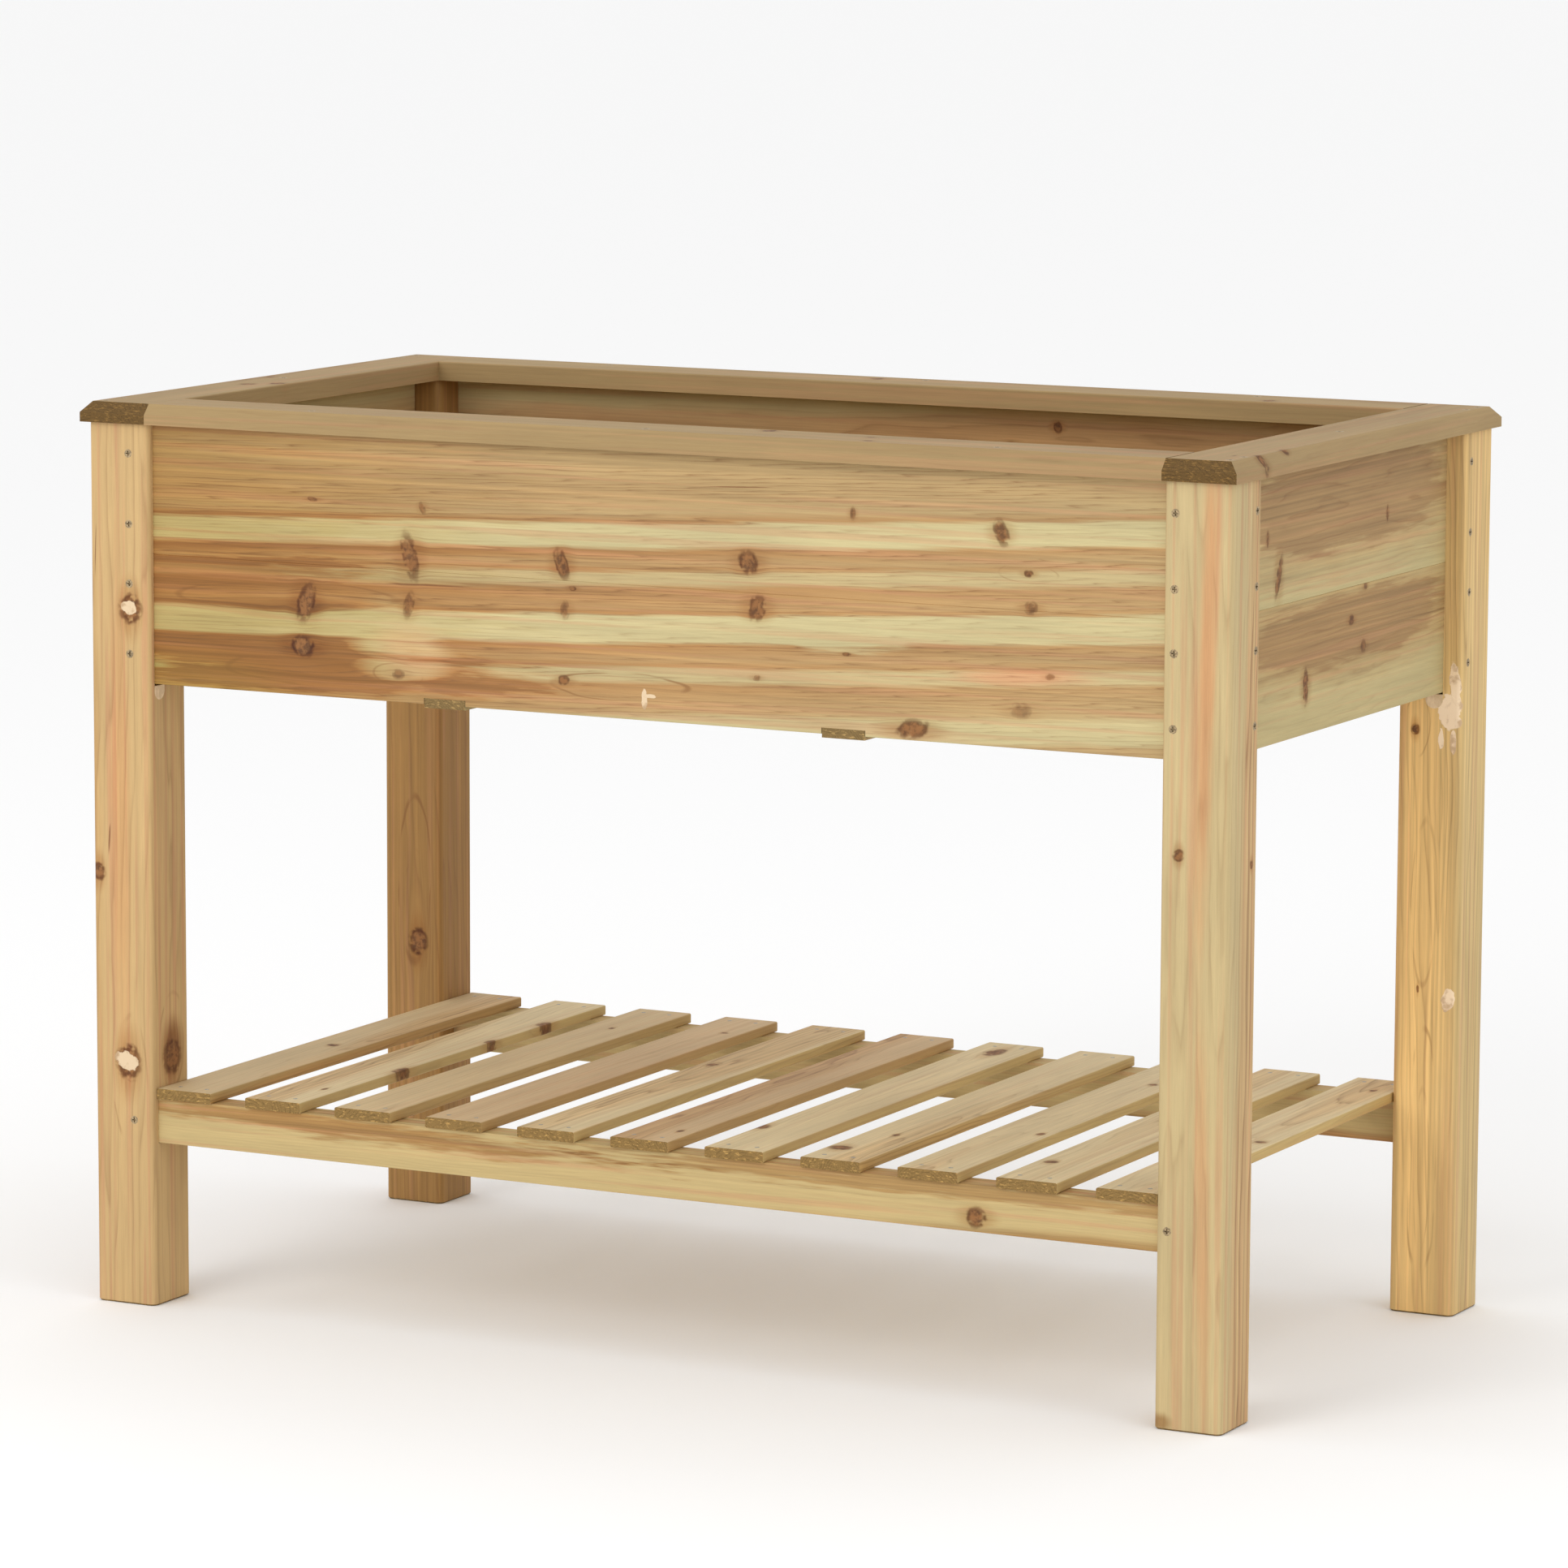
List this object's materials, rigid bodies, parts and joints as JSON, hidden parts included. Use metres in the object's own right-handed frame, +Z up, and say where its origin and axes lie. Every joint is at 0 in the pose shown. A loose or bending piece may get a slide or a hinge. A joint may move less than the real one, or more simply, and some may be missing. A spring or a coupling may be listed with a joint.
{
  "type": "raised planter on legs",
  "caption": "Raised wooden planter: a rectangular trough with a bevelled rim, carried on square legs above a slatted shelf on two rails.",
  "frame": {"origin": "on the floor, under the middle of the planter", "axes": "+Z up, +X along the long side to the right, -Y towards the front"},
  "size_m": [1.05, 0.55, 0.765],
  "materials": {
    "leg_wood": "planed, unpainted softwood",
    "wall_wood": "planed, unpainted softwood",
    "rim_wood": "planed, unpainted softwood",
    "floor_wood": "planed, unpainted softwood",
    "rail_wood": "planed, unpainted softwood",
    "slat_wood": "planed, unpainted softwood",
    "filler": "pale wood filler, wiped flush",
    "screw_steel": "zinc-plated, dull",
    "nail_steel": "zinc-plated, dull"
  },
  "bodies": {
    "root": {"back_board_lower": "wall_wood", "back_board_upper": "wall_wood", "bearer_screws": "screw_steel", "end_wall_screws": "screw_steel", "floor_bearer_left": "floor_wood", "floor_bearer_right": "floor_wood", "floor_board_1": "floor_wood", "floor_board_2": "floor_wood", "floor_board_3": "floor_wood", "floor_board_4": "floor_wood", "floor_board_5": "floor_wood", "floor_nails": "nail_steel", "front_board_lower": "wall_wood", "front_board_upper": "wall_wood", "groove_fillers": "filler", "left_board_lower": "wall_wood", "left_board_upper": "wall_wood", "leg_back_left": "leg_wood", "leg_back_right": "leg_wood", "leg_front_left": "leg_wood", "leg_front_right": "leg_wood", "long_wall_screws": "screw_steel", "right_board_lower": "wall_wood", "right_board_upper": "wall_wood", "rim_back": "rim_wood", "rim_corner_screws": "screw_steel", "rim_front": "rim_wood", "rim_left": "rim_wood", "rim_right": "rim_wood", "rim_wall_screws": "screw_steel", "shelf_rail_back": "rail_wood", "shelf_rail_front": "rail_wood", "shelf_rail_screws": "screw_steel", "shelf_slat_01": "slat_wood", "shelf_slat_02": "slat_wood", "shelf_slat_03": "slat_wood", "shelf_slat_04": "slat_wood", "shelf_slat_05": "slat_wood", "shelf_slat_06": "slat_wood", "shelf_slat_07": "slat_wood", "shelf_slat_08": "slat_wood", "shelf_slat_09": "slat_wood", "shelf_slat_10": "slat_wood", "shelf_slat_11": "slat_wood", "slat_nails": "nail_steel"}
  },
  "joints": []
}
